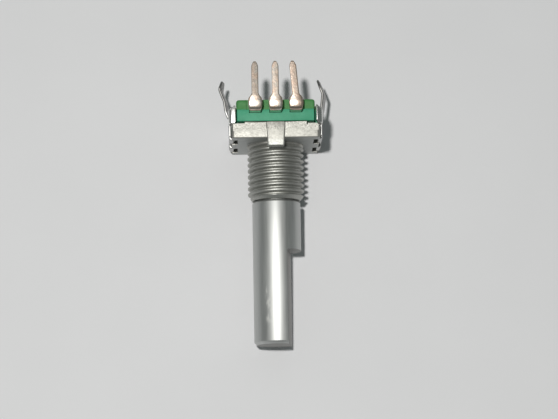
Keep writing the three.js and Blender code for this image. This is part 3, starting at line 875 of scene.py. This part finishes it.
def terminal_width(y, z):
    """Width of a terminal: a leg, a wide rounded shoulder behind its bend, and a pin with a point."""
    above = z - WAFER_HIGH.z
    leg = stepped(above, ((0, 2 * LEG_HALF_WIDTH), (0.35, LEG_WAIST)))
    width = leg + (stepped(y, SHOULDER_WIDTHS) - leg) * stepped(above, ((0.3, 0), (0.95, 1)))
    point = min(max((y - PIN_TAPER) / (PIN_HIGH.y - PIN_TAPER), 0), 1)
    return width + (PIN_TIP_WIDTH - SHOULDER_WIDTHS[-1][1]) * point


def terminal_crown(middle):
    """The shoulder is curved across; the leg and the pin are flat."""
    return CROWN * stepped(middle.z, ((6.6, 0), (7.2, 1))) * stepped(middle.y, ((4.9, 1), (5.6, 0.35)))


def shoulder_height(y):
    """Height of a terminal's middle, which climbs gently from the bend to the shoulder's top."""
    return TERMINAL_ROW - SHOULDER_CURVE * max(SHOULDER_TOP - y, 0) ** 2


def make_terminal(node, material):
    """A leg that comes out of the wafer, bends over at a wide shoulder and ends in a pointed pin."""
    place, lean, rise = TERMINALS[node]
    middle = LEG_FRONT + TERMINAL_SHEET / 2
    turned_over = arc(BEND_RADIUS, 180, BEND_STOP, 10)
    start = middle + BEND_RADIUS + turned_over[-1][0]
    centre = shoulder_height(start) - turned_over[-1][1]
    side = [(middle, LEG_END + (WAFER_HIGH.z - LEG_END) * k / 4) for k in range(4)]
    side += [(middle, WAFER_HIGH.z - 0.02), (middle, WAFER_HIGH.z + 0.06), (middle, WAFER_HIGH.z + 0.4)]
    side += [(middle + BEND_RADIUS + a, centre + b) for a, b in turned_over]
    shoulder = [start + (SHOULDER_END - start) * k / 14 for k in range(1, 15)]
    side += [(y, shoulder_height(y)) for y in shoulder]
    stations = [((place, y, z), terminal_width(y, z)) for y, z in side]
    for k in range(1, 25):
        out = (PIN_HIGH.y - PIN_SHORTFALL - SHOULDER_END) * k / 24
        x = place - out * math.tan(math.radians(lean))
        z = TERMINAL_ROW + out * math.tan(math.radians(rise))
        y = SHOULDER_END + out
        stations.append(((x, y, z), terminal_width(y, z)))
    body = strip(node, stations, TERMINAL_SHEET, (1, 0, 0), 0.1, terminal_crown)
    return finished(body, node, material, 50)


def make_brush(node, material):
    low, high = box_mm(node)
    sheet = 0.1
    width = 0.5
    place = (low.x + high.x) / 2
    foot = high.y - sheet / 2
    contact = low.y + sheet / 2
    curl = low.z
    route = [
        (foot, high.z), (foot, high.z - 0.6), (contact, curl + 0.5), (contact, curl + 0.3),
        (contact + 0.12, curl + 0.03),
    ]
    outline = ribbon(fillet(route, 0.5, 4, closed=False), sheet)
    body = prism(node, outline, "x", place - width / 2, place + width / 2)
    return finished(soften(body, 0.02, 2, 40), node, material)


# ---------------------------------------------------------------- internal pieces

DETENTS = 24
RIDGE_INNER = 3.3
RIDGE_OUTER = 4.0
RIDGE_HEIGHT = 0.18
RIDGE_START = 0.33
HUB_RADIUS = 2.95


def make_washer(material):
    body = ring("washer", 2.33, WASHER_HIGH.x, WASHER_LOW.y, WASHER_HIGH.y)
    return finished(soften(body, 0.03), "thrust_washer", material)


def make_clip(material):
    """A spring clip with an open mouth and three prongs that sit in the shaft's groove."""
    outer, relief, inner = 2.95, 2.4, 1.9
    mouth, prong = 40, 16
    outline = arc(outer, mouth, 360 - mouth, 48)
    stops = [360 - mouth, 360 - mouth - prong, 180 + prong / 2, 180 - prong / 2, mouth + prong, mouth]
    for i, (start, end) in enumerate(zip(stops, stops[1:])):
        outline += arc(inner if i % 2 == 0 else relief, start, end, 10)
    body = prism("clip", fillet(outline, 0.08, 2), "y", CLIP_LOW.y, CLIP_HIGH.y)
    return finished(soften(body, 0.03), "retaining_ring", material)


def make_click_spring(material):
    """A bowed ring: two tabs lie on the housing's floor and two dimples press on the rotor."""
    inner, outer, sheet, rise = 3.35, 4.1, 0.12, 0.45
    rest = SPRING_LOW.y
    body = ring("spring", inner, outer, rest, rest + sheet, 128)
    for side in (-1, 1):
        z = sorted((side * (inner + 0.2), side * SPRING_HIGH.z))
        join(body, block((-0.5, rest, z[0]), (0.5, rest + sheet, z[1])))
    soften(body, 0.02)
    for vertex in body.data.vertices:
        across = vertex.co.x / math.hypot(vertex.co.x, vertex.co.z)
        vertex.co.y += rise * across ** 2 * min(1, abs(vertex.co.x) / 0.8)
    for side in (-1, 1):
        bm = bmesh.new()
        bmesh.ops.create_uvsphere(bm, u_segments=32, v_segments=16, radius=0.3)
        dimple = new_object("dimple", bm)
        dimple.data.transform(Matrix.Translation((side * 3.68, SPRING_HIGH.y - 0.3, 0)))
        join(body, cut(dimple, block((-9, -1, -1), (9, rest + rise, 1))))
    return finished(body, "click_spring", material)


def detent_ridge(angle):
    base, top = 0.25, 0.06
    front = ROTOR_LOW.y + RIDGE_START
    crest = front - RIDGE_HEIGHT
    half = [(front + 0.1, base), (front, base), (crest, top)]
    section = [(y, -z) for y, z in half] + half[::-1]
    ridge = prism("ridge", section, "x", RIDGE_INNER, RIDGE_OUTER)
    ridge.data.transform(Matrix.Rotation(angle, 4, "Y"))
    return ridge


def make_rotor(material):
    low, high = ROTOR_LOW.y, ROTOR_HIGH.y
    front = low + RIDGE_START
    outer = ROTOR_HIGH.x
    profile = [(0, low), (HUB_RADIUS, low), (HUB_RADIUS, front), (outer, front), (outer, high), (0, high)]
    body = turned("rotor", profile)
    key = disc(KEY_RADIUS + FIT, low - 1, high + 1)
    for side in (1, -1):
        cut(key, beside_flat(KEY_HALF_WIDTH + FIT, low - 2, high + 2, side))
    cut(body, key)
    soften(body, 0.06, 2)
    ridges = [detent_ridge((i + 0.5) * 2 * math.pi / DETENTS) for i in range(DETENTS)]
    join(body, *ridges)
    return finished(body, "detent_rotor", material)


def make_code_plate(material):
    """The plate that the brushes wipe: an unbroken inner track and a windowed outer one."""
    windows = 12
    step = 360 / windows
    low, high = PLATE_LOW.y, PLATE_HIGH.y
    body = ring("plate", 1.6, PLATE_HIGH.x, low, high, 128)
    for i in range(windows):
        start = i * step
        outline = arc(3.75, start, start + step / 2, 8) + arc(3.0, start + step / 2, start, 8)
        cut(body, prism("window", outline, "y", low - 1, high + 1))
    return finished(soften(body, 0.02, 1), "code_plate", material)


# ---------------------------------------------------------------- floor, light and camera

FLOOR_TILT_POINTS = (Vector((0, SHAFT_LOW.y, -SHAFT_RADIUS)), Vector((0, 1.8, BRACKET_LOW.z)))
TARGET = Vector((0.33, -8.02, 0))
CAMERA_PLACE = Vector((-5.57, -53.99, 301.66))
CAMERA_UP = Vector((0.0145, 1, 0.15))
SENSOR_WIDTH = 36
LENS = 158
FLASH_OFFSET = Vector((-30, 49, 0))
FLASH_SIZE = 15
FLASH_POWER = 0.63
REAR_PLACE = Vector((60, 420, 190))
REAR_SIZE = 260
REAR_POWER = 0.04
WORLD_STRENGTH = 0.135


def make_floor(material):
    """Paper that touches the end of the shaft and the body's lower edge, as the part lies on it."""
    tip, heel = FLOOR_TILT_POINTS
    slope = (heel.z - tip.z) / (heel.y - tip.y)
    reach = 900
    bm = bmesh.new()
    outline = ((-reach, -reach), (reach, -reach), (reach, reach), (-reach, reach))
    corners = [(x, y, tip.z + slope * (y - tip.y)) for x, y in outline]
    bm.faces.new([bm.verts.new(c) for c in corners])
    floor = new_object("floor", bm)
    floor.data.transform(Matrix.Scale(MM, 4))
    floor.data.materials.append(material)


def looking(place, target, up):
    """The placing of a camera or lamp that stands at a place and looks at a target."""
    back = (place - target).normalized()
    right = up.cross(back).normalized()
    rotation = Matrix((right, back.cross(right), back)).transposed()
    return Matrix.Translation(place * MM) @ rotation.to_4x4()


def make_camera():
    data = bpy.data.cameras.new("camera")
    data.sensor_width = SENSOR_WIDTH
    data.lens = LENS
    data.clip_start = 0.01
    data.clip_end = 10
    camera = bpy.data.objects.new("camera", data)
    bpy.context.scene.collection.objects.link(camera)
    camera.matrix_world = looking(CAMERA_PLACE, TARGET, CAMERA_UP)
    bpy.context.scene.camera = camera


def make_lamp(name, place, size, power, color=(1, 1, 1)):
    data = bpy.data.lights.new(name, "AREA")
    data.shape = "DISK"
    data.color = color
    data.size = size * MM
    data.energy = power
    lamp = bpy.data.objects.new(name, data)
    bpy.context.scene.collection.objects.link(lamp)
    lamp.matrix_world = looking(place, TARGET, CAMERA_UP)


def make_lights():
    make_lamp("key", CAMERA_PLACE + FLASH_OFFSET, FLASH_SIZE, FLASH_POWER, (1, 0.985, 0.955))
    make_lamp("rear", REAR_PLACE, REAR_SIZE, REAR_POWER)
    world = bpy.data.worlds.new("world")
    world.use_nodes = True
    background = world.node_tree.nodes["Background"]
    background.inputs["Color"].default_value = (0.90, 1.0, 0.97, 1)
    background.inputs["Strength"].default_value = WORLD_STRENGTH
    bpy.context.scene.world = world
    bpy.context.scene.view_settings.view_transform = "Standard"


# ---------------------------------------------------------------- everything

make_camera()
make_lights()
make_floor(paper_surface())

zinc = die_cast_surface()
spring_steel = sheet_surface("spring_steel", (0.62, 0.61, 0.57), (0.42, 0.41, 0.38), 0.3, "x")
bronze = sheet_surface("contact_bronze", (0.78, 0.52, 0.30), (0.55, 0.34, 0.19), 0.3, "z")
tinned = terminal_surface()

make_shaft(shaft_surface())
make_housing(zinc)
make_bracket(bracket_surface())
make_wafer(green_surface())
for terminal in TERMINALS:
    make_terminal(terminal, tinned)
for brush in ("brush_a", "brush_c", "brush_b"):
    make_brush(brush, bronze)
make_washer(spring_steel)
make_clip(spring_steel)
make_click_spring(spring_steel)
make_rotor(rotor_surface())
make_code_plate(bronze)
